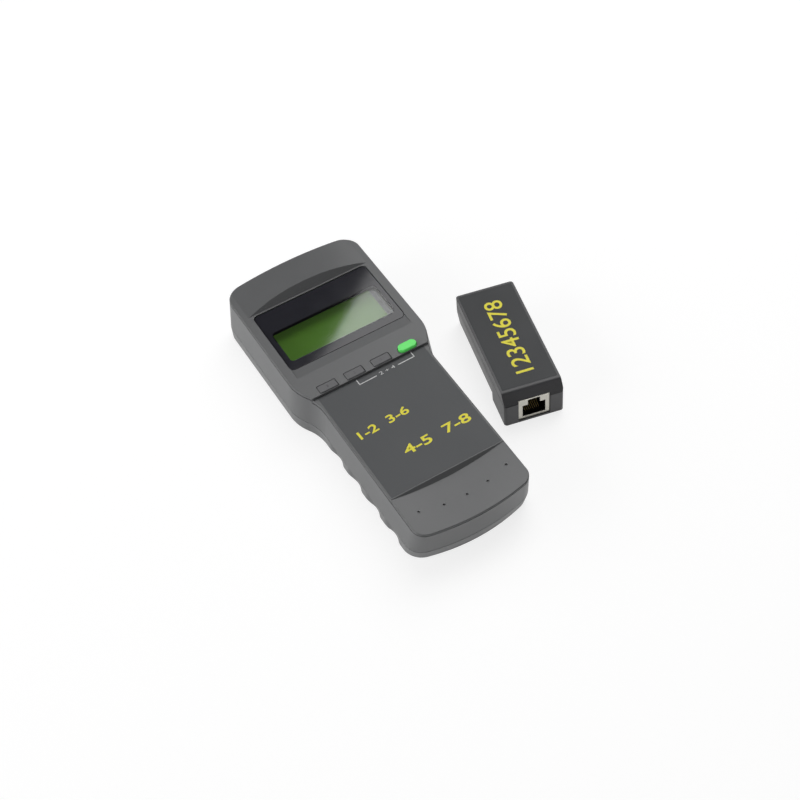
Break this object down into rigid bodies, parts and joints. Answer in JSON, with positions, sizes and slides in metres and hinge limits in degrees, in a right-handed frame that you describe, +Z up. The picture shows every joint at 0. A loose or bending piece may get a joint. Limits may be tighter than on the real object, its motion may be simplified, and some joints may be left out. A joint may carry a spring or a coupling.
{
  "type": "network cable tester",
  "caption": "Handheld network cable tester with a display head, narrower scooped handle, press keys, sliding battery door and a loose box-shaped wire-map remote.",
  "frame": {"origin": "centre of the tester's flat rear face, on the surface it lies on", "axes": "+Y towards the display head, +Z up out of the display, +X to the right, towards the remote"},
  "size_m": [0.133, 0.1876, 0.0306],
  "materials": {
    "shell": "fine matt moulded ABS",
    "panel": "printed sheet, satin",
    "key": "matt",
    "power_key": "bright green, satin",
    "window": "clear acrylic with a dark printed border",
    "display": "yellow-green display",
    "dark_foam": "foam",
    "black_plastic": "moulded",
    "plated_steel": "nickel plated",
    "bezel": "black coated steel",
    "gold": "gold plated",
    "board": "solder resist",
    "steel": "zinc plated",
    "diffuser": "milky",
    "battery_can": "painted",
    "lead": "insulated lead",
    "component": "lacquered"
  },
  "bodies": {
    "tester": {"battery": "battery_can", "battery_leads": "lead", "battery_pad": "dark_foam", "battery_snap": "black_plastic", "battery_terminals": "plated_steel", "board_chips": "black_plastic", "board_header": "black_plastic", "board_screws": "steel", "buzzer": "black_plastic", "capacitors": "component", "case_screws": "steel", "crystal": "plated_steel", "display_board": "board", "display_window": "window", "front_shell": "shell", "lcd_bezel": "bezel", "lcd_glass": "display", "light_guide": "diffuser", "loop_jack_can": "plated_steel", "loop_jack_contacts": "gold", "loop_jack_housing": "black_plastic", "main_board": "board", "main_jack_can": "plated_steel", "main_jack_contacts": "gold", "main_jack_housing": "black_plastic", "panel_overlay": "panel", "rear_shell": "shell", "switch_bases": "black_plastic", "window_gasket": "dark_foam", "zebra_strips": "dark_foam"},
    "left_key": {"left_key": "key", "left_key_plunger": "black_plastic"},
    "second_key": {"second_key": "key", "second_key_plunger": "black_plastic"},
    "third_key": {"third_key": "key", "third_key_plunger": "black_plastic"},
    "power_key": {"power_key": "power_key", "power_key_plunger": "black_plastic"},
    "battery_door": {"battery_door": "shell"},
    "remote": {"remote_board": "board", "remote_jack_can": "plated_steel", "remote_jack_contacts": "gold", "remote_jack_housing": "black_plastic", "remote_label": "panel", "remote_lower_shell": "shell", "remote_resistors": "component", "remote_screws": "steel", "remote_upper_shell": "shell"}
  },
  "joints": [
    {"name": "left_key_press", "type": "slide", "parent": "tester", "child": "left_key", "axis": [0, 0, -1], "range_m": [0, 0.0008], "stiffness_N_per_m": 1800},
    {"name": "second_key_press", "type": "slide", "parent": "tester", "child": "second_key", "axis": [0, 0, -1], "range_m": [0, 0.0008], "stiffness_N_per_m": 1800},
    {"name": "third_key_press", "type": "slide", "parent": "tester", "child": "third_key", "axis": [0, 0, -1], "range_m": [0, 0.0008], "stiffness_N_per_m": 1800},
    {"name": "power_key_press", "type": "slide", "parent": "tester", "child": "power_key", "axis": [0, 0, -1], "range_m": [0, 0.0008], "stiffness_N_per_m": 1800},
    {"name": "battery_door_slide", "type": "slide", "parent": "tester", "child": "battery_door", "axis": [0, -1, 0], "range_m": [0, 0.074]},
    {"name": "remote_lift", "type": "slide", "parent": "tester", "child": "remote", "axis": [0, 0, 1], "range_m": [0, 0.12]}
  ]
}
